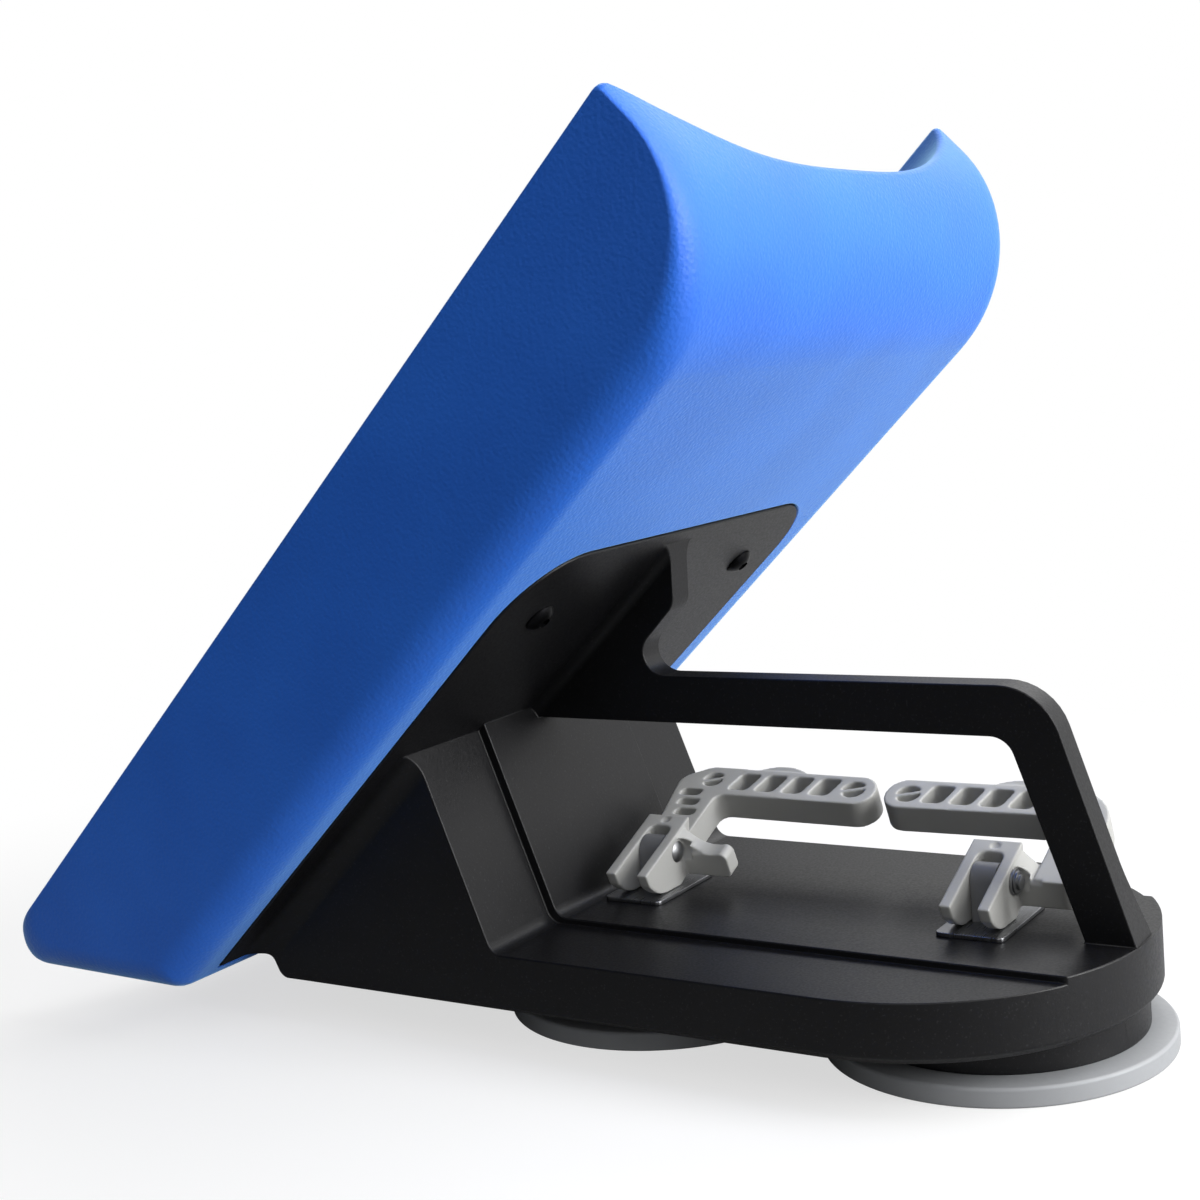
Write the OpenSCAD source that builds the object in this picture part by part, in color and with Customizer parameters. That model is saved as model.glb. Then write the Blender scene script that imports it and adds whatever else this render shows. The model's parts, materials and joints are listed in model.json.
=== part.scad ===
// Wakesurf wave shaper: a scooped foam blade on a moulded bracket with two lever suction cups.
// Millimetres. +X runs from the blade to the free end, +Z away from the hull, and the
// origin is the middle of the free-end cup's sealing face.

/* [Suction cups] */
// Distance between the two cup axes
cup_pitch = 126; // [122:1:134]
// Diameter of the rubber pads
pad_d = 114; // [108:1:120]
// Thickness of the rubber pads at the rim
pad_t = 7; // [6:0.5:7]
// Diameter of the steel backing discs
disc_d = 70; // [50:1:76]
// Lift of the cup centres when a lever stands upright
cup_lift = 9; // [8:0.25:9.25]

/* [Bracket] */
// Width of the base
base_w = 154; // [146:1:160]
// Height of the base's underside over the hull
base_low = 17.5; // [17:0.5:20]
// Height of the base's side strips over the hull
base_top = 37; // [36:0.5:40]
// Rise of the middle band over the side strips
band_rise = 2.3; // [1:0.1:4]
// Half width of the raised middle band
band_half = 41.5; // [30:0.5:50]
// Wall thickness of the moulding
wall_t = 4; // [3:0.5:5]
// Height of the carrying handle's top
arch_top = 119.7; // [114:0.1:122]
// Depth of the carrying handle's beam
arch_depth = 16.5; // [12:0.5:17]
// Thickness of the carrying handle
arch_t = 11; // [9:0.5:13]
// Offset of the carrying handle from the middle plane, away from the levers
arch_y = -5.5; // [-8:0.5:-5.5]

/* [Blade] */
// Tilt of the blade over the hull
tilt = 42.5; // [40:0.5:45]
// Length of the blade's front edges from the hull plane to the tip
blade_len = 452; // [430:1:470]
// Width of the blade
blade_w = 232; // [224:1:240]
// Thickness of the blade at its sides
blade_t = 67; // [63:1:71]
// Depth of the scoop in the blade's front
scoop_depth = 29; // [15:1:34]
// Half width of the scoop
scoop_half = 111; // [90:1:112]

/* [Levers] */
// Angle of the released levers over the hull
lever_rest = 23; // [21:1:25]
// Width of the lever forks
fork_w = 17; // [16:0.5:19]
// Radius of the lever pins
pin_r = 2.5; // [2:0.25:3]

/* [Hidden] */

arc_steps = 8;
eps = 0.01;
big = 600;

// The left cup is the one beside the blade.
left_x = -cup_pitch;
right_x = 0;

// Blade: s runs up its front edges from the hull plane, depth runs through its thickness.
blade_foot_x = -383.8;
blade_bottom = 25;
blade_end_r = 50;
blade_back_r = 12;
blade_front_r = 3;
blade_corner_r = 10;
blade_heel_r = 5;
scoop_steps = 28;

// Flange of the bracket, let into the blade's back.
flange_t = 5.5;
flange_proud = 0.4;
flange_out = blade_t + flange_proud;
flange_in = flange_out - flange_t;
flange_half = 94;
flange_end = 324.7;
flange_r = 28;
flange_bottom = 26;
flange_gap = 0.4;

// Fasteners of the flange: an upper pair, and a lower pair inside the hollow wedge.
screw_spots = [[294.7, -66], [294.7, 66], [160, -55], [160, 55]];
screw_r = 2.9;
screw_len = 17;
head_r = 5.6;
head_h = 3.2;
socket_r = 2.3;
socket_depth = 2;
screw_hole_r = 3.3;
insert_r = 4.5;
insert_len = 14;
insert_bore_r = 3;

// Base and wedge.
base_half = base_w / 2;
end_x = -25;
end_chamfer = 2.5;
wedge_foot_x = -145.2;
wedge_lean = 0.3585;
wedge_root_x = -243;
wedge_fillet = 6;
band_step_x = 3.5;
root_r = 5;
ceiling = base_top - wall_t;
band_top = base_top + band_rise;
foot_flare = 4.5;
flare_top = 60;
hollow_rib_t = 3;
hollow_rib_y = [0];

// Cup housings under the base.
housing_r = 48.5;
housing_low = pad_t;
tube_r = 19;
tube_t = 2.5;
chamber_top = band_top - wall_t;

// Stems and their guides.
stem_x = 8.2;
stem_y = 11.2;
guide_gap = 0.15;
guide_t = 2;
guide_low = 23;
foot_r = 12;
foot_h = 2.5;
disc_t = 3;
disc_low = pad_t - disc_t + 0.5;
disc_top = disc_low + disc_t;
disc_hole_r = 4;

// Wear plates.
plate_x = 23;
plate_y = 39;
plate_t = 1.5;
plate_r = 2;
plate_top = band_top + plate_t;
plate_gap = 0.3;

// Springs.
spring_r = 15.5;
wire_r = 1;
spring_turns = 5;
spring_steps = 14;
wire_sides = 6;

// Levers, drawn with their top face level and the pin at the origin.
cam_depth = 12.52;
cam_gap = 0.1;
pin_z = plate_top + cam_gap + cam_depth;
fork_top = 5.8;
nose_u = -21.4;
heel_u = -3.8;
back_u = 5;
rear_u = 13.3;
slot_half = 4.4;
slot_end_u = 7.2;
lever_turn = 60;
cam_rate = cup_lift / lever_turn;
cam_steps = 12;
bar_t = 11.5;
bar_v = -0.5;
horn_u = 1.5;
bar_front = 35;
bar_rear = 51;
pocket_t = 4;
pin_gap = 0.05;
pin_head_r = 3.8;
pin_head_h = 1.2;
clip_r = 4.2;
clip_t = 0.8;

// Unit vector, and the points of a closed outline whose corners [x, y, r] are rounded.
function unit(v) = v / norm(v);
function flat2(p) = [p[0], p[1]];
function corner(p, q, t, r) =
    let (a = unit(p - q),
         b = unit(t - q),
         half = acos(a * b) / 2,
         centre = q + unit(a + b) * r / sin(half),
         first = q + a * r / tan(half) - centre,
         turn = (q - p)[0] * (t - q)[1] - (q - p)[1] * (t - q)[0],
         sweep = (180 - 2 * half) * (turn > 0 ? 1 : -1),
         start = atan2(first[1], first[0]))
    [for (i = [0:arc_steps])
        centre + r * [cos(start + sweep * i / arc_steps), sin(start + sweep * i / arc_steps)]];
function rounded(pts) =
    let (n = len(pts))
    [for (i = [0:n - 1])
        let (p = flat2(pts[(i + n - 1) % n]),
             q = flat2(pts[i]),
             t = flat2(pts[(i + 1) % n]))
        each (pts[i][2] > 0 ? corner(p, q, t, pts[i][2]) : [q])];

module outline(pts) {
    polygon(rounded(pts));
}

// A shape drawn in X and Z, made width wide across Y and centred on the middle plane.
module slab(width, y = 0) {
    translate([0, y, 0]) rotate([90, 0, 0]) translate([0, 0, -width / 2])
        linear_extrude(width) children();
}

// The blade's own frame: X up the front edges, Z out of the front face.
module on_blade() {
    translate([blade_foot_x, 0, 0]) rotate([0, -tilt, 0]) children();
}

// Place on the blade's front line whose point at this depth has the given height.
function s_at(height, depth) = (height + depth * cos(tilt)) / sin(tilt);

// ---------------------------------------------------------------- blade

function blade_side(back_in, front_in, bottom_in) = rounded([
    [s_at(blade_bottom + bottom_in, front_in), -front_in, blade_corner_r],
    [s_at(blade_bottom + bottom_in, blade_t - back_in), back_in - blade_t, blade_heel_r],
    [blade_len, back_in - blade_t, blade_end_r - 2],
    [blade_len, -front_in, 0]]);

// Depth of the scoop at a place across the blade.
function scoop_at(y) = scoop_depth * pow(1 - pow(abs(y) / scoop_half, 2.3), 0.9);

module blade_body() {
    rounding = [0, 22.5, 45, 67.5, 90];
    hull() for (a = rounding)
        slab(blade_w - 2 * blade_back_r * (1 - sin(a)))
            polygon(blade_side(blade_back_r * (1 - cos(a)), blade_front_r * (1 - cos(a)),
                               blade_front_r * (1 - cos(a))));
}

module scoop() {
    ys = [for (i = [0:scoop_steps]) scoop_half * (2 * i / scoop_steps - 1)];
    pts = concat([for (y = ys) [y, -scoop_at(y)]], [[scoop_half, 20], [-scoop_half, 20]]);
    rotate([90, 0, 90]) linear_extrude(big) polygon(pts);
}

// Outline of the flange, seen square to the blade's back, grown by a gap.
module flange_shape(grow) {
    half = flange_half + grow;
    top = flange_end + grow;
    low = s_at(flange_bottom, flange_in) - 60;
    outline([[low, -half, 0], [top, -half, flange_r], [top, half, flange_r], [low, half, 0]]);
}

module blade() {
    color("royalblue") difference() {
        on_blade() blade_body();
        on_blade() scoop();
        on_blade() translate([0, 0, -blade_t - 20])
            linear_extrude(20 + blade_t - flange_in + 0.1) flange_shape(flange_gap);
        on_blade() for (p = screw_spots) translate([p[0], p[1], -flange_in - 0.2])
            cylinder(r = insert_r + 0.05, h = insert_len + 1.2, $fn = 32);
    }
}

module blade_inserts() {
    color("goldenrod") on_blade() for (p = screw_spots) translate([p[0], p[1], -flange_in + 0.1])
        difference() {
            cylinder(r = insert_r, h = insert_len, $fn = 32);
            translate([0, 0, -1]) cylinder(r = insert_bore_r, h = insert_len + 2, $fn = 32);
        }
}

module flange_screws() {
    color("dimgray") on_blade() for (p = screw_spots) translate([p[0], p[1], -flange_out]) {
        difference() {
            rotate([180, 0, 0]) button_head();
            translate([0, 0, -head_h - 1]) cylinder(r = socket_r, h = socket_depth + 1, $fn = 6);
        }
        translate([0, 0, -eps]) cylinder(r = screw_r, h = screw_len, $fn = 32);
    }
}

// A domed head that stands on its flat underside.
module button_head() {
    dome_r = (head_r * head_r + head_h * head_h) / (2 * head_h) + 0.6;
    intersection() {
        cylinder(r = head_r, h = head_h, $fn = 48);
        translate([0, 0, head_h - dome_r]) sphere(r = dome_r, $fn = 64);
    }
}

// ---------------------------------------------------------------- bracket

// Front wall of the wedge at a height.
function wedge_x(z) = wedge_foot_x - (z - base_top) * wedge_lean;

// Side view of the wedge and the base together, before the flange cuts it.
module wedge_profile(step_x, deck) {
    top = 112;
    outline([[wedge_root_x, base_low, root_r], [end_x + base_half + 10, base_low, 0],
             [end_x + base_half + 10, deck, 0], [wedge_x(deck) + step_x, deck, wedge_fillet],
             [wedge_x(top) + step_x, top, 0], [wedge_x(top) - 60, top, 0],
             [wedge_root_x - 30, flange_bottom + 2, 0], [wedge_root_x - 4, flange_bottom, 4]]);
}

// All that lies behind the outer face of the flange.
module behind_flange(depth) {
    on_blade() translate([-100, -big / 2, -depth - big]) cube([big + 200, big, big]);
}

// Plan of the base: straight sides and a round free end, with a chamfer under the round rim.
module base_plan() {
    translate([end_x, 0, 0]) {
        rotate_extrude($fn = 96) polygon([
            [0, base_low], [base_half - end_chamfer, base_low],
            [base_half, base_low + end_chamfer], [base_half, arch_top], [0, arch_top]]);
        translate([-big, -base_half, base_low]) cube([big, base_w, arch_top]);
    }
}

module wedge_and_base() {
    intersection() {
        union() {
            slab(base_w) wedge_profile(0, base_top);
            slab(2 * band_half) wedge_profile(band_step_x, band_top);
        }
        base_plan();
        behind_flange(flange_in + 1);
    }
}

// Hollow of the moulding, open at the underside.
module hollow() {
    inner_half = base_half - wall_t;
    lean_t = wall_t * 1.07;
    top = 98;
    difference() {
        intersection() {
            slab(2 * inner_half) outline([
                [wedge_root_x + wall_t, base_low - 5, 0],
                [end_x + base_half, base_low - 5, 0],
                [end_x + base_half, ceiling, 0],
                [wedge_x(ceiling) - lean_t, ceiling, 2],
                [wedge_x(top) - lean_t, top, 0],
                [wedge_root_x - 60, top, 0],
                [wedge_root_x + wall_t, base_low + 12, 0]]);
            union() {
                translate([end_x, 0, 0]) cylinder(r = inner_half, h = arch_top, $fn = 96);
                translate([end_x - big, -inner_half, 0]) cube([big, 2 * inner_half, arch_top]);
            }
            behind_flange(flange_out);
        }
        for (y = hollow_rib_y) slab(hollow_rib_t, y) polygon([
            [wedge_root_x - 60, base_low], [wedge_x(0), base_low],
            [wedge_x(0), arch_top], [wedge_root_x - 60, arch_top]]);
        for (x = [left_x, right_x]) translate([x, 0, 0])
            cylinder(r = housing_r, h = base_top, $fn = 96);
    }
}

// Solid of one cup housing, and the spaces inside it.
module housing() {
    translate([0, 0, housing_low]) cylinder(r = housing_r, h = ceiling - housing_low, $fn = 96);
}

module housing_spaces() {
    inner_r = housing_r - wall_t;
    cylinder(r = inner_r, h = base_low, $fn = 96);
    difference() {
        translate([0, 0, base_low - 1]) cylinder(r = inner_r, h = ceiling - base_low + 1, $fn = 96);
        cylinder(r = tube_r + tube_t, h = base_top, $fn = 64);
    }
    difference() {
        translate([0, 0, base_low - 1]) cylinder(r = tube_r, h = chamber_top - base_low + 1, $fn = 64);
        translate([-stem_x / 2 - guide_t, -stem_y / 2 - guide_t, guide_low])
            cube([stem_x + 2 * guide_t, stem_y + 2 * guide_t, base_top]);
    }
    translate([-stem_x / 2 - guide_gap, -stem_y / 2 - guide_gap, guide_low - 1])
        cube([stem_x + 2 * guide_gap, stem_y + 2 * guide_gap, base_top]);
}

// Carrying handle: a rib up the flange that turns into a beam and comes down as a leg.
module arch_profile() {
    leg_out = 0.3166;
    leg_in = 0.3374;
    beam_low = arch_top - arch_depth;
    outer_x = 25.5;
    inner_x = 13.2;
    foot_z = base_top - 3;
    rim_z = base_top + band_rise;
    outline([
        [-200, 90, 0], [-150, 185, 0], [-102.5, 185, 0], [-104, 144.5, 8],
        [-118.8, 130, 7], [-116, arch_top, 8.4], [outer_x, arch_top, 20],
        [outer_x + (arch_top - rim_z) * leg_out, rim_z, 0],
        [outer_x + (arch_top - rim_z) * leg_out - 2, foot_z, 0],
        [inner_x + (beam_low - foot_z) * leg_in, foot_z, 0],
        [inner_x, beam_low, 8], [-200, beam_low, 0]]);
}

// The handle seen from the free end: its leg widens towards the foot, on the side of the levers.
module arch_section() {
    near = arch_y - arch_t / 2;
    far = arch_y + arch_t / 2;
    rotate([90, 0, 90]) translate([0, 0, -big]) linear_extrude(2 * big) outline([
        [near, 0, 0], [far + foot_flare, 0, 0], [far + foot_flare, base_top + 2, 20],
        [far, flare_top, 50], [far, big, 0], [near, big, 0]]);
}

module arch() {
    intersection() {
        slab(8 * arch_t) arch_profile();
        arch_section();
        behind_flange(flange_in + 1);
    }
}

// A concave fillet along the flange, where a wall at this Y meets it, on one side.
module flange_fillet(y, side, r) {
    on_blade() translate([0, y, 0.2 - flange_out]) rotate([90, 0, 90]) linear_extrude(big)
        difference() {
            translate([side > 0 ? -0.2 : -r, -r]) square([r + 0.2, r + 0.2]);
            translate([side * r, -r]) circle(r = r, $fn = 48);
        }
}

module bracket() {
    color([0.12, 0.12, 0.13]) difference() {
        union() {
            difference() {
                union() {
                    wedge_and_base();
                    for (side = [-1, 1]) intersection() {
                        flange_fillet(side * base_half, side, 9);
                        slab(2 * flange_half) wedge_profile(0, base_top);
                    }
                }
                hollow();
            }
            intersection() {
                on_blade() translate([0, 0, -flange_out]) linear_extrude(flange_t) flange_shape(0);
                translate([-big, -big / 2, flange_bottom]) cube([2 * big, big, big]);
            }
            arch();
            for (side = [-1, 1]) intersection() {
                flange_fillet(arch_y + side * arch_t / 2, side, 5);
                slab(4 * arch_t, arch_y) arch_profile();
            }
            for (x = [left_x, right_x]) translate([x, 0, 0]) housing();
        }
        for (x = [left_x, right_x]) translate([x, 0, 0]) housing_spaces();
        on_blade() for (p = screw_spots) translate([p[0], p[1], -flange_out - 0.5])
            cylinder(r = screw_hole_r, h = flange_t + 1, $fn = 32);
    }
}

// ---------------------------------------------------------------- cups

module pad() {
    r = pad_d / 2;
    groove_r = [r - 7, r - 12];
    color([0.7, 0.71, 0.72]) rotate_extrude($fn = 96) difference() {
        outline([[0, 0, 0], [r, 0, 0.8], [r, pad_t - 0.6, 1.2], [housing_r + 3, pad_t, 0],
                 [disc_d / 2 + 0.1, pad_t, 0], [disc_d / 2 + 0.1, disc_low, 0], [0, disc_low, 0]]);
        for (g = groove_r) translate([g, -1]) square([2, 1.8]);
    }
}

module disc() {
    color("silver") rotate_extrude($fn = 96)
        outline([[disc_hole_r, disc_low, 0], [disc_d / 2, disc_low, 0],
                 [disc_d / 2, disc_top, 0.8], [disc_hole_r, disc_top, 0]]);
}

module stem() {
    color([0.72, 0.73, 0.74]) difference() {
        union() {
            translate([0, 0, disc_low]) cylinder(r = disc_hole_r - 0.05, h = disc_t + eps, $fn = 48);
            translate([0, 0, disc_top]) cylinder(r = foot_r, h = foot_h, $fn = 64);
            translate([-stem_x / 2, -stem_y / 2, disc_top])
                cube([stem_x, stem_y, pin_z - disc_top]);
            translate([-stem_x / 2, 0, pin_z]) rotate([0, 90, 0])
                cylinder(r = stem_y / 2, h = stem_x, $fn = 48);
        }
        translate([-stem_x, 0, pin_z]) rotate([0, 90, 0])
            cylinder(r = pin_r + pin_gap, h = 2 * stem_x, $fn = 48);
    }
}

// A wire ring of the spring at one place along its helix.
function spring_ring(a, z) = [for (k = [0:wire_sides - 1])
    let (b = 360 * k / wire_sides, r = spring_r + wire_r * cos(b))
    [r * cos(a), r * sin(a), z + wire_r * sin(b)]];

// The spring's wire runs from this height to that one, and makes one turn in this rise.
spring_from = disc_top + wire_r + 0.05;
spring_to = chamber_top - wire_r - 0.05;
spring_rise = (spring_to - spring_from) / spring_turns;

// Least distance between the surfaces of one turn of the wire and the next.
turn_gap = min([for (p = spring_ring(0, 0), q = spring_ring(0, spring_rise)) norm(q - p)]);
echo(str("least gap between the spring's turns: ", turn_gap, " mm"));

module spring() {
    count = spring_turns * spring_steps;
    ring_pts = [for (i = [0:count])
        each spring_ring(360 * i / spring_steps, spring_from + spring_rise * i / spring_steps)];
    sides = [for (i = [0:count - 1], k = [0:wire_sides - 1])
        let (a = i * wire_sides + k, b = i * wire_sides + (k + 1) % wire_sides)
        each [[a, a + wire_sides, b], [b, a + wire_sides, b + wire_sides]]];
    first = [for (k = [1:wire_sides - 2]) [0, k, k + 1]];
    last_i = count * wire_sides;
    last = [for (k = [1:wire_sides - 2]) [last_i, last_i + k + 1, last_i + k]];
    color("gray") polyhedron(points = ring_pts, faces = concat(sides, first, last));
}

module wear_plate() {
    hx = plate_x / 2;
    hy = plate_y / 2;
    color("darkgray") translate([0, 0, band_top]) linear_extrude(plate_t) difference() {
        outline([[-hx, -hy, plate_r], [hx, -hy, plate_r], [hx, hy, plate_r], [-hx, hy, plate_r]]);
        square([stem_x + 2 * plate_gap, stem_y + 2 * plate_gap], center = true);
    }
}

// ---------------------------------------------------------------- levers

// Point of the cam that touches the plate when the lever has turned by an angle.
// The cam lifts the pin by the same amount for each degree, so it is an involute.
function cam_point(turned) =
    let (a = lever_rest + turned,
         reach = cam_depth + cam_rate * turned,
         lead = cam_rate * 180 / PI)
    [-reach * sin(a) - lead * cos(a), -reach * cos(a) + lead * sin(a)];

// Side view of the fork, with the bottom flat that lies on the plate.
module fork_profile() {
    heel_v = -(cam_depth + heel_u * sin(lever_rest)) / cos(lever_rest);
    cam = [for (i = [cam_steps:-1:0]) cam_point(lever_turn * i / cam_steps)];
    polygon(concat(
        [[back_u, heel_v + 1.2], [rear_u, fork_top], [nose_u, fork_top]],
        [for (p = cam) if (p[1] < fork_top - 1 && p[0] > nose_u) p],
        [[heel_u, heel_v]]));
}

module fork() {
    difference() {
        rotate([90, 0, 90]) translate([0, 0, -fork_w / 2]) linear_extrude(fork_w) fork_profile();
        translate([0, 0, -20]) linear_extrude(40) outline([
            [-slot_half, -40, 0], [slot_half, -40, 0],
            [slot_half, slot_end_u, 3], [-slot_half, slot_end_u, 3]]);
        translate([0, 10.3, fork_top - 0.6]) cylinder(r = 1.6, h = 2, $fn = 32);
    }
}

// Pockets that lighten the bar's top face, with slanted webs between them.
module slanted_pocket(x, y, w, d, lean) {
    translate([x, y, bar_v - pocket_t]) linear_extrude(pocket_t + 1) outline([
        [-w / 2 - lean, -d / 2, 1.6], [w / 2 - lean, -d / 2, 1.6],
        [w / 2 + lean, d / 2, 1.6], [-w / 2 + lean, d / 2, 1.6]]);
}

// A round pocket crossed by a bar.
module barred_pocket(x, y, r) {
    translate([x, y, bar_v - pocket_t]) difference() {
        cylinder(r = r, h = pocket_t + 1, $fn = 40);
        rotate(20) translate([-r, -0.8, -1]) cube([2 * r, 1.6, pocket_t + 3]);
    }
}

// Half-round finger tab on the rear edge of the bar.
module rear_tab(x) {
    intersection() {
        translate([x, bar_rear - 14, -bar_t + 2]) cylinder(r = 17.5, h = bar_t - 3, $fn = 64);
        translate([x - 20, bar_rear - 6, -bar_t]) cube([40, 20, bar_t]);
    }
}

// Side view of the horn beside the fork, which sags from the fork's top to its end.
// The sag's lowest place and its radius are given.
module horn(length, depth, sag_x, sag_r) {
    translate([0, horn_u + depth, 0]) rotate([90, 0, 0]) linear_extrude(depth) outline([
        [0, -bar_t, 0], [length, -bar_t, 2.5], [length, bar_v, 2.5], [sag_x, bar_v - 2, sag_r],
        [fork_w / 2 - 1, fork_top, 0], [0, fork_top, 0]]);
}

// Plate of a handle, from an outline seen square to its top face.
module bar() {
    translate([0, 0, -bar_t]) linear_extrude(bar_t + bar_v) children();
}

module handle_left() {
    difference() {
        bar() outline([
            [-7.5, 8, 0], [7, 8, 0], [7, bar_front, 4], [69, bar_front - 0.6, 7.5],
            [68.5, bar_rear - 0.8, 7.5], [-2, bar_rear + 0.3, 7], [-12.9, 44, 7], [-11, 31, 5]]);
        barred_pocket(1.5, 43.6, 4);
        barred_pocket(60, 42.8, 4.4);
        for (i = [0:3]) slanted_pocket(15.1 + i * 11.1, 43.2, 6.8, 8.6, 1.1);
        for (i = [0:2]) slanted_pocket(-4 + i * 1.6, 35.4 - i * 5.9, 8, 3.6, 0.3);
    }
    rear_tab(27.6);
}

module handle_right() {
    difference() {
        bar() outline([
            [14, horn_u, 0], [29, horn_u, 6], [30, bar_rear, 18], [-53, bar_rear - 0.5, 7.5],
            [-53.5, bar_front - 0.8, 7.5], [14, bar_front + 0.6, 5]]);
        barred_pocket(-44.5, 42.4, 4.4);
        for (i = [0:3]) slanted_pocket(-33.6 + i * 10.8, 43.1, 6.8, 8.6, 1.1);
        barred_pocket(17.5, 42, 4.4);
        for (i = [0:2]) slanted_pocket(21.8, 32 - i * 7, 9, 4, 0.3);
    }
    rear_tab(-5.2);
}

// Places a lever on its pin, at its released angle.
module on_pin(x) {
    translate([x, 0, pin_z]) rotate([lever_rest, 0, 0]) children();
}

module pin_bores() {
    rotate([0, 90, 0]) translate([0, 0, -fork_w]) cylinder(r = pin_r + pin_gap, h = 2 * fork_w, $fn = 48);
}

// Space kept free of the horn: the fork's own width, and room for the pin's head or clips.
module clear_fork() {
    translate([-20, -20, -30]) cube([20 + fork_w / 2 - 1, 40, 60]);
    translate([fork_w / 2, 0, 0]) rotate([0, 90, 0]) cylinder(r = clip_r + 0.5, h = 4, $fn = 48);
}

module lever_left() {
    color([0.66, 0.67, 0.69]) on_pin(left_x) difference() {
        union() {
            fork();
            handle_left();
            difference() {
                horn(27, 6.5, 17, 12);
                clear_fork();
            }
        }
        pin_bores();
    }
}

module lever_right() {
    color([0.66, 0.67, 0.69]) on_pin(right_x) difference() {
        union() {
            fork();
            handle_right();
            difference() {
                horn(20, 9.5, 14.5, 3);
                clear_fork();
            }
        }
        pin_bores();
    }
}

// A headed pin along X: the head is on the side that faces +X when side is 1.
module headed_pin(side) {
    reach = fork_w / 2 + 0.1;
    tail = 2.6;
    rotate([0, 90 * side, 0]) {
        translate([0, 0, -reach - tail]) cylinder(r = pin_r, h = 2 * reach + tail, $fn = 48);
        translate([0, 0, reach]) intersection() {
            cylinder(r = pin_head_r, h = pin_head_h, $fn = 48);
            translate([0, 0, pin_head_h - 7]) sphere(r = 7, $fn = 64);
        }
    }
}

// Washer and retaining ring on the pin's tail.
module pin_clips(side) {
    reach = fork_w / 2 + 0.15;
    rotate([0, -90 * side, 0]) for (i = [0, 1]) translate([0, 0, reach + i * (clip_t + 0.1)])
        difference() {
            cylinder(r = clip_r - i * 0.6, h = clip_t, $fn = 48);
            translate([0, 0, -1]) cylinder(r = pin_r + pin_gap, h = 3, $fn = 48);
        }
}

blade();
blade_inserts();
bracket();
flange_screws();
translate([left_x, 0, 0]) pad();  // pad_left
translate([right_x, 0, 0]) pad();  // pad_right
translate([left_x, 0, 0]) disc();  // disc_left
translate([right_x, 0, 0]) disc();  // disc_right
translate([left_x, 0, 0]) stem();  // stem_left
translate([right_x, 0, 0]) stem();  // stem_right
translate([left_x, 0, 0]) spring();  // spring_left
translate([right_x, 0, 0]) spring();  // spring_right
translate([left_x, 0, 0]) wear_plate();  // wear_plate_left
translate([right_x, 0, 0]) wear_plate();  // wear_plate_right
lever_left();
lever_right();
color("silver") translate([left_x, 0, pin_z]) headed_pin(1);  // pin_left
color("silver") translate([right_x, 0, pin_z]) headed_pin(-1);  // pin_right
color("silver") translate([left_x, 0, pin_z]) pin_clips(1);  // pin_clips_left
color("silver") translate([right_x, 0, pin_z]) pin_clips(-1);  // pin_clips_right
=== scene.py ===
"""Looks of a wakesurf wave shaper: a scooped blade on a moulded bracket with two lever cups."""
import json
import math

import bmesh
import bpy
from mathutils import Matrix, Vector


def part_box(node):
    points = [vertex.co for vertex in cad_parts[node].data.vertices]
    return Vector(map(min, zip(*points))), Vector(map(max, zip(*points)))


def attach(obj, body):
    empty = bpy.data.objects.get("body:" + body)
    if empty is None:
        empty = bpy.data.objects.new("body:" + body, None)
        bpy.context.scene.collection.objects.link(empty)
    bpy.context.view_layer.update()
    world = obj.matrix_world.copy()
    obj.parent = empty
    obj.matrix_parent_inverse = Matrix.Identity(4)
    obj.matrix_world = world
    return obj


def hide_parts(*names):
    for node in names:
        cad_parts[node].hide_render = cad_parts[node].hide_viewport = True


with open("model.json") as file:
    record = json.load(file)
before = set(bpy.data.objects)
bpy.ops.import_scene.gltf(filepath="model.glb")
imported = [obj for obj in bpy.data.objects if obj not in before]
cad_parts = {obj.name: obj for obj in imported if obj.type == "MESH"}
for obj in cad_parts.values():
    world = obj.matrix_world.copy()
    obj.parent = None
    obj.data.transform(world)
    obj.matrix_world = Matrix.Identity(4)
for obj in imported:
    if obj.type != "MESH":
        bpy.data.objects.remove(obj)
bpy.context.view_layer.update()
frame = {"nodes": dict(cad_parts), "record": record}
nodes = frame["nodes"]
MM = 0.001
# Sizes in millimetres of the patterns that several materials share.
FLOW_TONE, DUST, CLOUD = 38, 0.8, 6


# ---------------------------------------------------------------- colours and nodes

def srgb(code):
    """Linear colour of an sRGB hex value."""
    parts = [int(code[i:i + 2], 16) / 255 for i in (1, 3, 5)]
    return [c / 12.92 if c <= 0.04045 else ((c + 0.055) / 1.055) ** 2.4 for c in parts] + [1.0]


def add(tree, kind, links=None, **settings):
    """Adds a shader node. A setting named in_X sets input X, and links maps inputs to outputs."""
    node = tree.nodes.new("ShaderNode" + kind)
    for key, value in settings.items():
        if key.startswith("in_"):
            name = key[3:]
            node.inputs[int(name) if name.isdigit() else name.replace("_", " ")].default_value = value
        else:
            setattr(node, key, value)
    for name, output in (links or {}).items():
        tree.links.new(output, node.inputs[name])
    return node


def surface(name, colour, roughness, **sockets):
    """A new material with a Principled shader, returned with its tree and shader."""
    mat = bpy.data.materials.new(name)
    mat.use_nodes = True
    tree = mat.node_tree
    shader = tree.nodes["Principled BSDF"]
    shader.inputs["Base Color"].default_value = srgb(colour)
    shader.inputs["Roughness"].default_value = roughness
    for key, value in sockets.items():
        shader.inputs[key.replace("_", " ")].default_value = value
    mat.diffuse_color = srgb(colour)
    return mat, tree, shader


def per_mm(size):
    """Texture scale that gives a pattern this many millimetres from feature to feature."""
    return 1.0 / (size * MM)


def grain(tree, where, size, detail=2.0):
    """Noise on Object coordinates whose features are size millimetres apart."""
    return add(tree, "TexNoise", {"Vector": where}, in_Scale=per_mm(size), in_Detail=detail,
               in_Roughness=0.5).outputs["Fac"]


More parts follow.
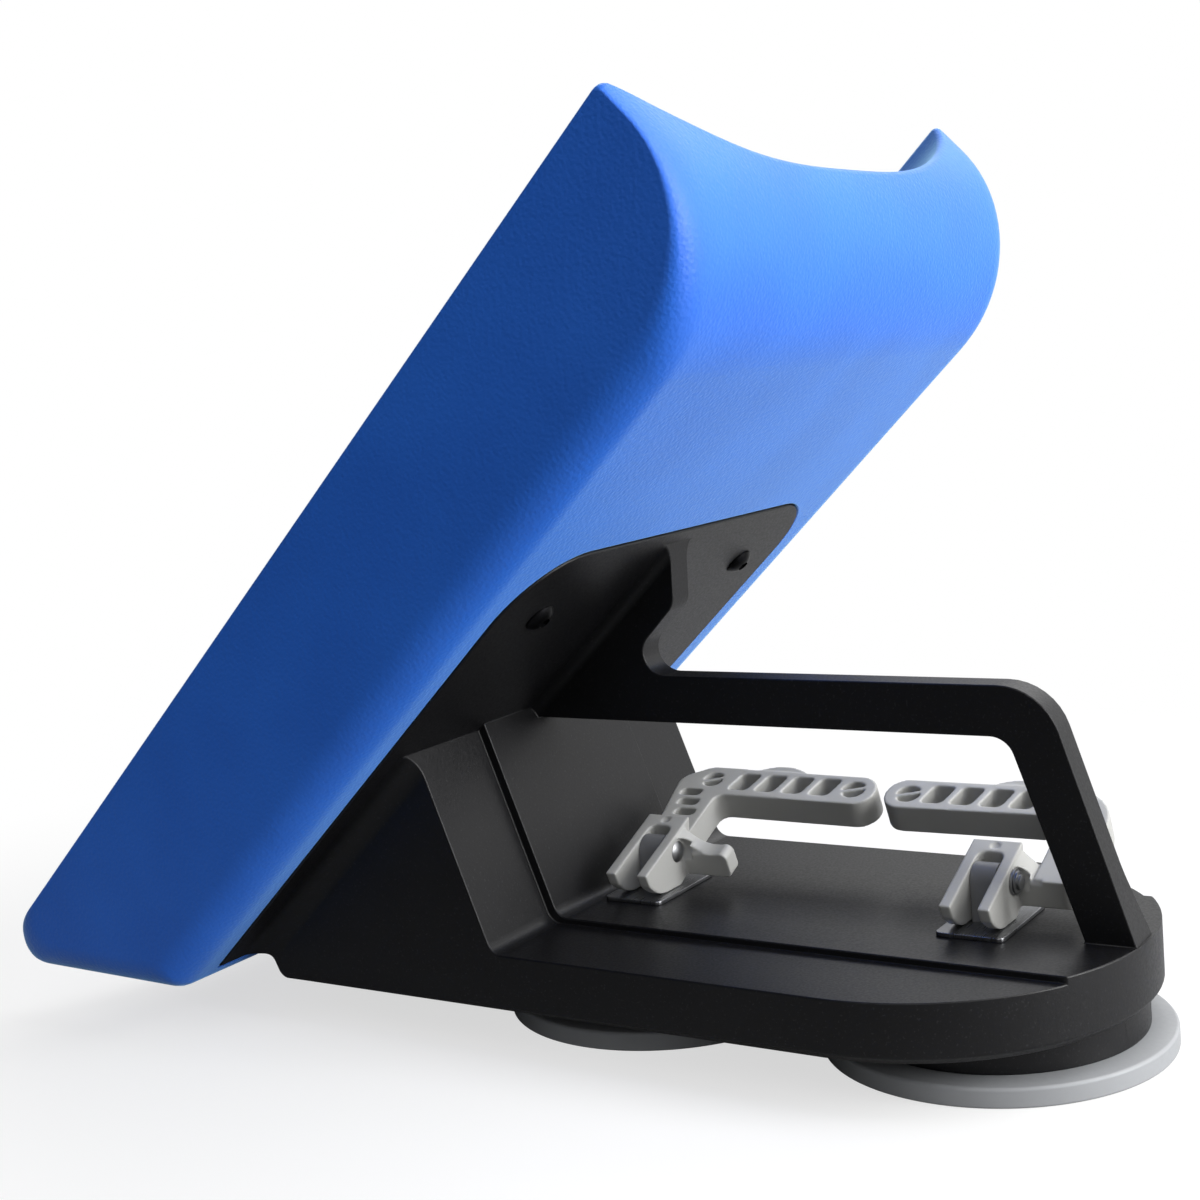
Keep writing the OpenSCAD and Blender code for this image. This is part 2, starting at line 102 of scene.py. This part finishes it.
def shades(tree, fac, low, high, start=0.35, end=0.65):
    """Colours between two hex values, mixed by a pattern."""
    ramp = add(tree, "ValToRGB", {"Fac": fac})
    ramp.color_ramp.elements[0].position = start
    ramp.color_ramp.elements[1].position = end
    ramp.color_ramp.elements[0].color = srgb(low)
    ramp.color_ramp.elements[1].color = srgb(high)
    return ramp.outputs["Color"]


def between(tree, value, start, end, low, high):
    """A number that goes from low to high while value goes from start to end."""
    return add(tree, "MapRange", {"Value": value}, in_1=start, in_2=end, in_3=low, in_4=high).outputs[0]


def spread(tree, fac, low, high):
    """A number between low and high, mixed by a noise, which mostly stays from 0.3 to 0.7."""
    return between(tree, fac, 0.3, 0.7, low, high)


def bump(tree, height, depth, onto=None):
    """A bump whose full height is depth millimetres."""
    links = {"Height": height}
    if onto:
        links["Normal"] = onto
    return add(tree, "Bump", links, in_Strength=1.0, in_Distance=depth * MM).outputs["Normal"]


def moulded(name, colour, darker, roughness, grain_mm, grain_depth, specks=None, **sockets):
    """Injection-moulded plastic or rubber: an eroded grain, a faint flow tone and specks of dust."""
    mat, tree, shader = surface(name, colour, roughness, **sockets)
    where = add(tree, "TexCoord").outputs["Object"]
    fine = grain(tree, where, grain_mm)
    broad = grain(tree, where, FLOW_TONE)
    tone = shades(tree, broad, darker, colour)
    if specks:
        dust = shades(tree, grain(tree, where, DUST, detail=1.0), "#000000", "#ffffff", 0.64, 0.74)
        mixed = add(tree, "Mix", {0: dust, 6: tone}, data_type="RGBA", in_7=srgb(specks))
        tone = mixed.outputs[2]
    tree.links.new(tone, shader.inputs["Base Color"])
    tree.links.new(spread(tree, fine, roughness - 0.05, roughness + 0.07), shader.inputs["Roughness"])
    tree.links.new(bump(tree, fine, grain_depth), shader.inputs["Normal"])
    return mat


def metal(name, colour, duller, roughness, lines, line_depth):
    """Bare metal whose tool marks are drawn out, with lines giving their size along X, Y and Z."""
    mat, tree, shader = surface(name, colour, roughness, Metallic=1.0)
    where = add(tree, "TexCoord").outputs["Object"]
    drawn = add(tree, "Mapping", {"Vector": where}, in_Scale=[per_mm(size) for size in lines]).outputs[0]
    marks = add(tree, "TexNoise", {"Vector": drawn}, in_Scale=1.0, in_Detail=3.0).outputs["Fac"]
    tree.links.new(shades(tree, grain(tree, where, CLOUD), duller, colour), shader.inputs["Base Color"])
    tree.links.new(spread(tree, marks, roughness - 0.06, roughness + 0.1), shader.inputs["Roughness"])
    tree.links.new(bump(tree, marks, line_depth), shader.inputs["Normal"])
    return mat


# ---------------------------------------------------------------- materials

# Cross-linked polyethylene foam with a moulded skin: an even blue with a leather-like grain of
# small pebbles between creases, and a pale, soft sheen that shows at a glancing angle.
PEBBLE, CREASE, SKIN_TONE = 1.4, 0.9, 46
foam_skin, tree, shader = surface("moulded_pe_foam_skin", "#1e69da", 0.5, Sheen_Weight=1.0,
                                  Sheen_Roughness=0.32, Sheen_Tint=srgb("#a8dcff"))
where = add(tree, "TexCoord").outputs["Object"]
pebbles = add(tree, "TexVoronoi", {"Vector": where}, feature="SMOOTH_F1", in_Scale=per_mm(PEBBLE),
              in_Smoothness=0.6).outputs["Distance"]
soft = grain(tree, where, CREASE, detail=3.0)
tree.links.new(shades(tree, grain(tree, where, SKIN_TONE), "#1c66d6", "#206cde"),
               shader.inputs["Base Color"])
tree.links.new(spread(tree, soft, 0.46, 0.6), shader.inputs["Roughness"])
tree.links.new(bump(tree, soft, 0.09, onto=bump(tree, pebbles, 0.12)), shader.inputs["Normal"])
# Glass-filled nylon, moulded: near black, satin, with a very fine spark-eroded texture and specks.
black_nylon = moulded("black_moulded_nylon", "#0e0e10", "#0a0a0c", 0.4, 0.9, 0.025, specks="#222224",
                      Specular_IOR_Level=0.32)
# Acetal, moulded: light neutral grey with a smooth semi-matt face.
grey_acetal = moulded("grey_moulded_acetal", "#aaaaa7", "#a1a19e", 0.42, 1.2, 0.015)
# Silicone rubber, moulded: pale grey with a soft, slightly waxy face.
pale_rubber = moulded("pale_moulded_silicone_rubber", "#96989b", "#8f9194", 0.5, 1.6, 0.02)
# Stainless steel strip, rolled: grey metal with fine rolling lines across the plate.
rolled_steel = metal("rolled_stainless_steel", "#97989b", "#8b8c8f", 0.3, (0.4, 14, 14), 0.006)
# Stainless steel bar, turned: bright metal with tool rings round the pin's axis.
turned_steel = metal("turned_stainless_steel", "#97989a", "#88898b", 0.34, (0.25, 9, 9), 0.005)
# Spring steel, drawn wire: grey metal with marks along the wire.
drawn_steel = metal("drawn_spring_steel", "#8f9093", "#808184", 0.32, (5, 5, 0.5), 0.005)
# Nylon, moulded: a little rougher than the acetal, in a mid grey that is painted shade: the stem is
# coloured darker than the levers' light grey so that it looks as dark as it does in the shade it sits in.
grey_nylon_painted_shade = moulded("grey_moulded_nylon_painted_shade", "#6f7072", "#68696b", 0.48, 1.2, 0.02)
# Steel with a black oxide finish: dark, with a slightly oily sheen and a cloudy tone.
black_oxide = metal("black_oxide_steel", "#1e1e20", "#161617", 0.36, (0.8, 0.8, 0.8), 0.004)
# Brass bar, turned: warm yellow with tool rings round the insert's axis.
turned_brass = metal("turned_brass", "#c8a45a", "#bb9850", 0.3, (3, 3, 0.3), 0.005)

FINISHES = {"blade": foam_skin, "bracket": black_nylon, "lever": grey_acetal, "stem": grey_nylon_painted_shade,
            "pad": pale_rubber, "disc": rolled_steel, "wear_plate": rolled_steel, "spring": drawn_steel,
            "pin": turned_steel, "pin_clips": turned_steel, "flange_screws": black_oxide,
            "blade_inserts": turned_brass}


def finish_of(name):
    """Material of a CAD node."""
    return FINISHES[name.removesuffix("_left").removesuffix("_right")]


for name, node in nodes.items():
    node.data.materials.clear()
    node.data.materials.append(finish_of(name))


# ---------------------------------------------------------------- ways of working

# Faces that meet at less than SMOOTH_ANGLE are shaded as one, edges over EASE_ANGLE are rounded, and
# faces that meet at less than FLAT_ANGLE are merged.
SMOOTH_ANGLE, EASE_ANGLE, FLAT_ANGLE = math.radians(40), math.radians(30), math.radians(1)
# Points closer than this many metres are one.
SAME_POINT = 2e-6


def only(obj):
    """Makes obj the one selected and active object."""
    bpy.ops.object.select_all(action="DESELECT")
    obj.select_set(True)
    bpy.context.view_layer.objects.active = obj


def edit(obj, kind="EDGE"):
    """Enters edit mode on obj with nothing selected."""
    only(obj)
    bpy.ops.object.mode_set(mode="EDIT")
    bpy.ops.mesh.select_mode(type=kind)
    bpy.ops.mesh.select_all(action="DESELECT")


def done():
    """Leaves edit mode."""
    bpy.ops.object.mode_set(mode="OBJECT")


def apply(obj, kind, **settings):
    """Adds a modifier with its settings and applies it."""
    only(obj)
    mod = obj.modifiers.new(kind.lower(), kind)
    for key, value in settings.items():
        setattr(mod, key, value)
    bpy.ops.object.modifier_apply(modifier=mod.name)


def stands_for(obj, name):
    """obj takes the place, the body and the record's finish of a CAD node."""
    bodies = frame["record"]["behaviour"]["bodies"]
    obj.data.materials.clear()
    obj.data.materials.append(finish_of(name))
    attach(obj, next(body for body, members in bodies.items() if name in members))
    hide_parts(name)


def cut(obj, tool):
    """Takes a tool's solid out of obj and discards the tool."""
    apply(obj, "BOOLEAN", operation="DIFFERENCE", object=tool, solver="EXACT")
    bpy.data.objects.remove(tool)


def smoothed(obj):
    """Smooth shading that keeps broad faces flat and lets only their narrow edges curve."""
    only(obj)
    bpy.ops.object.shade_smooth_by_angle(angle=SMOOTH_ANGLE)
    apply(obj, "WEIGHTED_NORMAL", keep_sharp=True, weight=100, mode="FACE_AREA")


def copied(name, suffix):
    """A copy of a CAD node with its loose triangles merged into one skin."""
    obj = bpy.data.objects.new(name + suffix, nodes[name].data.copy())
    bpy.context.scene.collection.objects.link(obj)
    edit(obj)
    bpy.ops.mesh.select_all(action="SELECT")
    bpy.ops.mesh.remove_doubles(threshold=SAME_POINT)
    bpy.ops.mesh.customdata_custom_splitnormals_clear()
    done()
    return obj


def softened(name, radius, shaped=None, sharp=None):
    """Stands for a CAD node, with its edges rounded to a radius in millimetres.

    The function given as shaped works on it in edit mode first, and edges in the box given as sharp
    aren't rounded.
    """
    obj = copied(name, "_eased")
    edit(obj)
    bpy.ops.mesh.select_all(action="SELECT")
    bpy.ops.mesh.dissolve_limited(angle_limit=FLAT_ANGLE)
    if shaped:
        shaped(obj)
    mesh = bmesh.from_edit_mesh(obj.data)
    amount = mesh.edges.layers.float.new("bevel_weight_edge")
    for edge in mesh.edges:
        turns = edge.calc_face_angle(0) > EASE_ANGLE
        stays = sharp and within(sharp, *(corner.co / MM for corner in edge.verts))
        edge[amount] = float(turns and not stays)
    bmesh.update_edit_mesh(obj.data)
    done()
    apply(obj, "BEVEL", width=radius * MM, segments=3, limit_method="WEIGHT", use_clamp_overlap=False,
          loop_slide=False)
    smoothed(obj)
    stands_for(obj, name)


def melted(name, voxel, passes, keep, tools=()):
    """Stands for a CAD node, cut by tools, whose small edges all flow into each other."""
    obj = copied(name, "_moulding")
    for tool in tools:
        cut(obj, tool)
    apply(obj, "REMESH", mode="VOXEL", voxel_size=voxel * MM)
    apply(obj, "SMOOTH", factor=0.5, iterations=passes)
    apply(obj, "DECIMATE", ratio=keep)
    bpy.ops.object.shade_smooth()
    stands_for(obj, name)


def within(box, *points):
    """Whether all points lie inside a box given by two corners."""
    return all(low < c < high for point in points for low, c, high in zip(box[0], point, box[1]))


def pick_edges(obj, test):
    """Selects, in edit mode, the edges whose two ends in millimetres pass a test."""
    mesh = bmesh.from_edit_mesh(obj.data)
    for edge in mesh.edges:
        edge.select_set(test(*(corner.co / MM for corner in edge.verts)))
    bmesh.update_edit_mesh(obj.data)


def round_edges(reach, steps):
    """Rounds the selected edges, reaching this many millimetres along the faces beside them."""
    bpy.ops.mesh.bevel(offset=reach * MM, offset_type="OFFSET", segments=steps, affect="EDGES",
                       clamp_overlap=False)


# ---------------------------------------------------------------- blade

# The blade is drawn in its own frame: X up its front edges, Y across, and depth along -Z. That frame
# starts where the line of the front edges meets the ground, and the foot is cut off level above it.
TILT = math.radians(42.5)
BLADE_FOOT, BLADE_LOW, BLADE_TOP = -383.8, 22.6, 453.2
BLADE_THICK, BLADE_HALF = 67.0, 116.0
# Its long sides are round, and its front and top draw back a little there.
SIDE_R, SIDE_DRAW = 12.0, 2.6
SIDE_ANGLES = (0, 12, 24, 33, 42, 51, 60, 68, 76, 83, 90)
FLAT_STEPS, FLAT_CROWDING = 20, 1.3
# Its far end turns over in a large arc, which ends in the rim's small one.
END_R, END_STEPS, RIM_R, RIM_STEPS = 52.0, 22, 2.8, 7
# Its foot is level but for a slight lean, with a front edge that is rounder at the sides.
FOOT_FRONT_R, FOOT_SCOOP_R, FRONT_STEPS = 9.5, 4.0, 12
FOOT_BACK_R, BACK_STEPS, FOOT_LEAN = 8.0, 6, 0.015
# The scoop is nearly even over its width and falls off towards its edges.
SCOOP_DEPTH, SCOOP_HALF, SCOOP_POWER, SCOOP_FALL = 28.0, 112.8, 3.18, 0.9
# The flange's pocket is open at the back, and its mouth is eased.
POCKET_DEPTH, POCKET_HALF, POCKET_TOP, POCKET_R, POCKET_LOW = 5.1, 94.4, 325.1, 28.4, 25.6
POCKET_START, POCKET_OUT, POCKET_EASE = 60, 20, 0.9
INSERT_BORE_R, INSERT_BORE, BORE_OVER = 4.55, 15.0, 0.2
INSERTS = ((294.7, -66), (294.7, 66), (160, -55), (160, 55))


def rounded(corners):
    """Outline through corners given as x, y, radius and steps, each rounded."""
    points = []
    for before, here, after in zip(corners[-1:] + corners[:-1], corners, corners[1:] + corners[:1]):
        place = Vector(here[:2])
        a = (Vector(before[:2]) - place).normalized()
        b = (Vector(after[:2]) - place).normalized()
        half = a.angle(b) / 2
        centre = place + (a + b).normalized() * here[2] / math.sin(half)
        start = place + a * here[2] / math.tan(half) - centre
        turn = (2 * half - math.pi) * math.copysign(1, a.cross(b))
        points += [centre + Matrix.Rotation(turn * i / here[3], 2) @ start for i in range(here[3] + 1)]
    return points


def arc(centre, radius, start, end, steps):
    """Points of an arc between two angles."""
    angles = [start + (end - start) * i / steps for i in range(steps + 1)]
    return [centre + radius * Vector((math.cos(a), math.sin(a))) for a in angles]


def blade_outline(y):
    """Side outline at a place across the blade, as distance up its front edges and depth."""
    over = max(0.0, abs(y) - (BLADE_HALF - SIDE_R)) / SIDE_R
    turn = 1 - math.sqrt(1 - min(1.0, over) ** 2)
    scoop = max(0.0, 1 - (abs(y) / SCOOP_HALF) ** SCOOP_POWER) ** SCOOP_FALL
    front = math.hypot(SCOOP_DEPTH * scoop, SIDE_DRAW * turn)
    back = BLADE_THICK - SIDE_R * turn
    top = BLADE_TOP - SIDE_DRAW * turn

    def low(depth):
        height = BLADE_LOW + SIDE_R * turn - FOOT_LEAN * depth
        return (height + depth * math.cos(TILT)) / math.sin(TILT)

    end_r = END_R - SIDE_R * turn
    middle = Vector((top - end_r, back - end_r))
    # The rim's small arc lies against the end's large one, or against the flat of the top.
    deep = max(0.0, front + RIM_R - middle.y)
    rim = Vector((middle.x + math.sqrt((end_r - RIM_R) ** 2 - deep ** 2), front + RIM_R))
    meet = math.asin(deep / (end_r - RIM_R))
    front_r = FOOT_FRONT_R + (FOOT_SCOOP_R - FOOT_FRONT_R) * scoop
    # The two corners at the top only close the outline, and the arcs take their place.
    corners = [(low(front), front, front_r, FRONT_STEPS), (low(back), back, FOOT_BACK_R, BACK_STEPS),
               (top, back, 1, 1), (top, front, 1, 1)]
    foot = rounded(corners)[:FRONT_STEPS + BACK_STEPS + 2]
    return (foot + arc(middle, end_r, math.pi / 2, meet, END_STEPS)
            + arc(rim, RIM_R, meet, -math.pi / 2, RIM_STEPS))


def blade_stations():
    """Places across the blade where its outline is drawn, close together at the rounded sides."""
    flat = BLADE_HALF - SIDE_R
    side = [flat + SIDE_R * math.sin(math.radians(angle)) for angle in SIDE_ANGLES]
    half = [flat * (1 - (1 - i / FLAT_STEPS) ** FLAT_CROWDING) for i in range(FLAT_STEPS)] + side
    return [-y for y in reversed(half[1:])] + half


def foam_body():
    """The blade's solid, extruded across from outline to outline."""
    rows = blade_stations()
    outlines = [blade_outline(y) for y in rows]
    count = len(outlines[0])
    # A prism with the right number of corners and rows comes first, and each corner then moves.
    gap = 0.01
    bpy.ops.object.select_all(action="DESELECT")
    bpy.ops.mesh.primitive_circle_add(vertices=count, radius=0.1, fill_type="NGON")
    obj = bpy.context.object
    obj.name = "blade_foam"
    edit(obj, "FACE")
    bpy.ops.mesh.select_all(action="SELECT")
    for _ in rows[1:]:
        bpy.ops.mesh.extrude_region_move(TRANSFORM_OT_translate={"value": (0, 0, gap)})
    done()
    for point in obj.data.vertices:
        row = round(point.co.z / gap)
        step = round(math.atan2(point.co.y, point.co.x) * count / math.tau) % count
        s, depth = outlines[row][step]
        point.co = (s * MM, rows[row] * MM, -depth * MM)
    edit(obj)
    bpy.ops.mesh.select_all(action="SELECT")
    bpy.ops.mesh.normals_make_consistent(inside=False)
    done()
    return obj


def flange_pocket():
    """The space of the bracket's flange, with two rounded corners and a level lower end."""
    low = Vector((POCKET_START, -POCKET_HALF, -BLADE_THICK - POCKET_OUT))
    high = Vector((POCKET_TOP, POCKET_HALF, POCKET_DEPTH - BLADE_THICK))
    bpy.ops.object.select_all(action="DESELECT")
    bpy.ops.mesh.primitive_cube_add(size=1)
    obj = bpy.context.object
    edit(obj)
    bpy.ops.mesh.select_all(action="SELECT")
    bpy.ops.transform.resize(value=(high - low) * MM)
    bpy.ops.transform.translate(value=(high + low) / 2 * MM)
    bpy.ops.mesh.bisect(plane_co=(POCKET_LOW * MM / math.sin(TILT), 0, 0),
                        plane_no=(math.sin(TILT), 0, math.cos(TILT)), use_fill=True, clear_inner=True)
    pick_edges(obj, lambda a, b: abs(a.z - b.z) > 1 and min(a.x, b.x) > POCKET_TOP - 1)
    round_edges(POCKET_R, 12)
    done()
    return obj


def drill(s, y):
    """The bore of one threaded insert, under the flange."""
    bpy.ops.object.select_all(action="DESELECT")
    depth = BLADE_THICK - POCKET_DEPTH - (INSERT_BORE - BORE_OVER) / 2
    bpy.ops.mesh.primitive_cylinder_add(vertices=32, radius=INSERT_BORE_R * MM,
                                        depth=(INSERT_BORE + BORE_OVER) * MM,
                                        location=Vector((s, y, -depth)) * MM)
    return bpy.context.object


def on_pocket_edge(a, b):
    """Whether an edge lies along the pocket's mouth on the blade's back."""
    near, loose = 0.02, 0.1
    middle = (a + b) / 2
    if max(abs(p.z + BLADE_THICK) for p in (a, b)) > near or middle.x > POCKET_TOP + loose:
        return False
    if abs(abs(middle.y) - POCKET_HALF) < near or abs(middle.x - POCKET_TOP) < near:
        return True
    # The two rounded corners, but not the lines that a cut leaves across the blade's back.
    corner = Vector((middle.x - POCKET_TOP + POCKET_R, abs(middle.y) - POCKET_HALF + POCKET_R))
    if min(corner) > loose and POCKET_R - 2 * loose < corner.length < POCKET_R + loose:
        return abs(a.x - b.x) > 0.01 and abs(a.y - b.y) > 0.01
    level = [p.x * math.sin(TILT) + p.z * math.cos(TILT) for p in (a, b)]
    return max(abs(z - POCKET_LOW) for z in level) < near


blade = foam_body()
cut(blade, flange_pocket())
for spot in INSERTS:
    cut(blade, drill(*spot))
edit(blade)
pick_edges(blade, on_pocket_edge)
round_edges(POCKET_EASE, 3)
done()
smoothed(blade)
blade.matrix_world = Matrix.Translation((BLADE_FOOT * MM, 0, 0)) @ Matrix.Rotation(-TILT, 4, "Y")
only(blade)
bpy.ops.object.transform_apply(location=True, rotation=True, scale=True)
stands_for(blade, "blade")


# ---------------------------------------------------------------- bracket, cups and levers

# The levers' pockets are given on the bar's top face: across, away from the pin, width, height, lean.
BAR_TILT, BAR_TOP, BAR_DEPTH = math.radians(23), -0.5, 7.8
BAR_CORNER_R, BAR_OVER = 1.7, 0.6
BAR_POCKETS = {
    "left": [(15.1 + 11.1 * i, 43.2, 8.0, 9.6, 1.3) for i in range(4)]
            + [(-4 + 1.6 * i, 35.4 - 5.9 * i, 8.4, 3.8, 0.4) for i in range(3)],
    "right": [(-33.6 + 10.8 * i, 43.1, 8.0, 9.6, 1.3) for i in range(4)]
             + [(21.8, 32 - 7 * i, 9.4, 4.4, 0.4) for i in range(3)]}
CUP_X = {"left": -126, "right": 0}
SKIRT_FOOT, SKIRT_SIDE, SKIRT_SLOPE = 17.5, 77.0, 2.5
# Corners of the boxes that hold the flare of the leg's foot, and the deck's narrow land beside it.
LEG_FLARE = ((26, -0.5, 39.2), (51.2, 4.5, 75))
LEG_LAND = ((50.5, -11.1, 39.2), (53, 11.1, 39.4))


def bar_pocket(side, across, away, width, height, lean):
    """The space of one leaning pocket in a lever's bar."""
    bpy.ops.object.select_all(action="DESELECT")
    bpy.ops.mesh.primitive_cube_add(size=1)
    obj = bpy.context.object
    low, high = (Vector(corner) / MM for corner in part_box("pin_" + side))
    pin = (low + high) / 2
    pin.x = CUP_X[side]
    for point in obj.data.vertices:
        x, y, z = point.co
        point.co = Vector((x * width + 2 * y * lean, y * height, z * BAR_DEPTH)) * MM
    edit(obj)
    pick_edges(obj, lambda a, b: abs(a.z - b.z) > 1)
    round_edges(BAR_CORNER_R, 5)
    done()
    place = Vector((across, away, BAR_TOP + BAR_OVER - BAR_DEPTH / 2))
    obj.matrix_world = (Matrix.Translation(pin * MM) @ Matrix.Rotation(BAR_TILT, 4, "X")
                        @ Matrix.Translation(place * MM))
    return obj


def bracket_details(obj):
    """Slopes the foot of the straight skirt, and merges the narrow strips of the leg's flare."""
    def at_foot(point):
        return abs(abs(point.y) - SKIRT_SIDE) < 0.02 and abs(point.z - SKIRT_FOOT) < 0.02

    pick_edges(obj, lambda a, b: at_foot(a) and at_foot(b) and a.y * b.y > 0)
    round_edges(SKIRT_SLOPE, 1)
    bpy.ops.mesh.select_all(action="SELECT")
    bpy.ops.mesh.remove_doubles(threshold=10 * SAME_POINT)
    pick_edges(obj, lambda a, b: within(LEG_FLARE, a, b))
    bpy.ops.mesh.dissolve_limited(angle_limit=3 * FLAT_ANGLE)


softened("bracket", 0.55, shaped=bracket_details, sharp=LEG_LAND)
for side, pockets in BAR_POCKETS.items():
    tools = [bar_pocket(side, *pocket) for pocket in pockets]
    melted("lever_" + side, voxel=0.35, passes=16, keep=0.3, tools=tools)
    softened("wear_plate_" + side, 0.3)
    softened("pad_" + side, 0.3)


# ---------------------------------------------------------------- floor, light and camera

def lamp(name, place, target, size, power):
    """A white rectangular soft box that faces a point."""
    data = bpy.data.lights.new(name, "AREA")
    data.shape = "RECTANGLE"
    data.size, data.size_y = size
    data.energy = power
    box = bpy.data.objects.new(name, data)
    box.matrix_world = (Matrix.Translation(place)
                        @ (Vector(target) - Vector(place)).to_track_quat("-Z", "Y").to_matrix().to_4x4())
    bpy.context.scene.collection.objects.link(box)


lamp("side_softbox", (1.5, 0.15, 0.55), (-0.1, 0, 0.1), (1.0, 1.4), 38)
lamp("back_softbox", (-0.2, 1.35, 1.25), (-0.1, 0, 0.15), (1.6, 1.0), 9)
lamp("top_softbox", (0.7, 0.3, 1.5), (-0.15, 0, 0.2), (1.0, 1.0), 12)
lamp("fill_softbox", (0.4, -1.4, 1.2), (-0.15, 0, 0.15), (1.4, 1.4), 9.5)

# The studio is pale behind the object and at its free end, and unlit on the other two sides.
PALE_SIDE = (0.75, 0.66, 0.0)
world = bpy.data.worlds.new("studio")
bpy.context.scene.world = world
world.use_nodes = True
tree = world.node_tree
tree.nodes.clear()
direction = add(tree, "TexCoord").outputs["Generated"]
towards = add(tree, "VectorMath", {0: direction}, operation="DOT_PRODUCT", in_1=PALE_SIDE).outputs["Value"]
room = add(tree, "Background", {"Strength": between(tree, towards, -0.35, 0.75, 0.05, 0.8)},
           in_Color=srgb("#ffffff"))
# Polished things see the white backdrop where it is, and the unlit room elsewhere.
shown = add(tree, "Background", {"Strength": between(tree, towards, 0.0, 0.6, 0.02, 1.0)},
            in_Color=srgb("#ffffff"))
white = add(tree, "Background", in_Color=srgb("#ffffff"), in_Strength=1.0)
rays = add(tree, "LightPath").outputs
mirrored = add(tree, "Math", {0: rays["Is Glossy Ray"], 1: rays["Is Transmission Ray"]},
               operation="MAXIMUM").outputs[0]
lit = add(tree, "MixShader", {"Fac": mirrored, 1: room.outputs[0], 2: shown.outputs[0]})
mixed = add(tree, "MixShader", {"Fac": rays["Is Camera Ray"], 1: lit.outputs[0], 2: white.outputs[0]})
add(tree, "OutputWorld", {"Surface": mixed.outputs[0]})

bpy.ops.object.select_all(action="DESELECT")
bpy.ops.mesh.primitive_plane_add(size=8, location=(-0.15, 0, 0))
floor = bpy.context.object
floor.name = "studio_floor"
# White paper. What bounces off it in front of the object is held back, as by a black cloth.
mat, tree, shader = surface("matt_white_paper", "#f2f2f2", 0.9, Specular_IOR_Level=0.0)
where = add(tree, "TexCoord").outputs["Object"]
back = add(tree, "SeparateXYZ", {"Vector": where}).outputs["Y"]
rays = add(tree, "LightPath").outputs
held = between(tree, back, -0.35, 0.05, 0.08, 0.5)
bounce = add(tree, "Mix", {0: rays["Is Camera Ray"], 2: held}, in_3=0.9)
tree.links.new(bounce.outputs[0], shader.inputs["Base Color"])
# Seen directly, the paper runs into the white backdrop away from the object and its shadow.
far = add(tree, "VectorMath", {0: where}, operation="LENGTH").outputs["Value"]
fade = between(tree, far, 0.3, 0.5, 0.65, 1.0)
glow = add(tree, "Emission", in_Strength=1.0)
amount = add(tree, "Math", {0: fade, 1: rays["Is Camera Ray"]}, operation="MULTIPLY").outputs[0]
blend = add(tree, "MixShader", {"Fac": amount, 1: shader.outputs[0], 2: glow.outputs[0]})
tree.links.new(blend.outputs[0], tree.nodes["Material Output"].inputs["Surface"])
floor.data.materials.append(mat)

# The camera stands as high as the blade's upper part and is a little turned about its own axis.
CAMERA_PLACE = (0.22657, -0.54424, 0.23027)
YAW, PITCH, ROLL = math.radians(34.066), math.radians(-7.4248), math.radians(-4.973)
SENSOR_MM, FOCAL_PIXELS, FRAME_PIXELS = 36, 1845.8, 1200
ahead = Vector((-math.sin(YAW) * math.cos(PITCH), math.cos(YAW) * math.cos(PITCH), math.sin(PITCH)))
level_right = Vector((math.cos(YAW), math.sin(YAW), 0))
level_up = level_right.cross(ahead)
right = level_right * math.cos(ROLL) + level_up * math.sin(ROLL)
up = level_up * math.cos(ROLL) - level_right * math.sin(ROLL)
camera_data = bpy.data.cameras.new("camera")
camera_data.sensor_fit = "HORIZONTAL"
camera_data.sensor_width = SENSOR_MM
camera_data.lens = SENSOR_MM * FOCAL_PIXELS / FRAME_PIXELS
camera = bpy.data.objects.new("camera", camera_data)
camera.matrix_world = (Matrix.Translation(CAMERA_PLACE)
                       @ Matrix((right, up, -ahead)).transposed().to_4x4())
bpy.context.scene.collection.objects.link(camera)
bpy.context.scene.camera = camera

bpy.context.scene.view_settings.view_transform = "Standard"
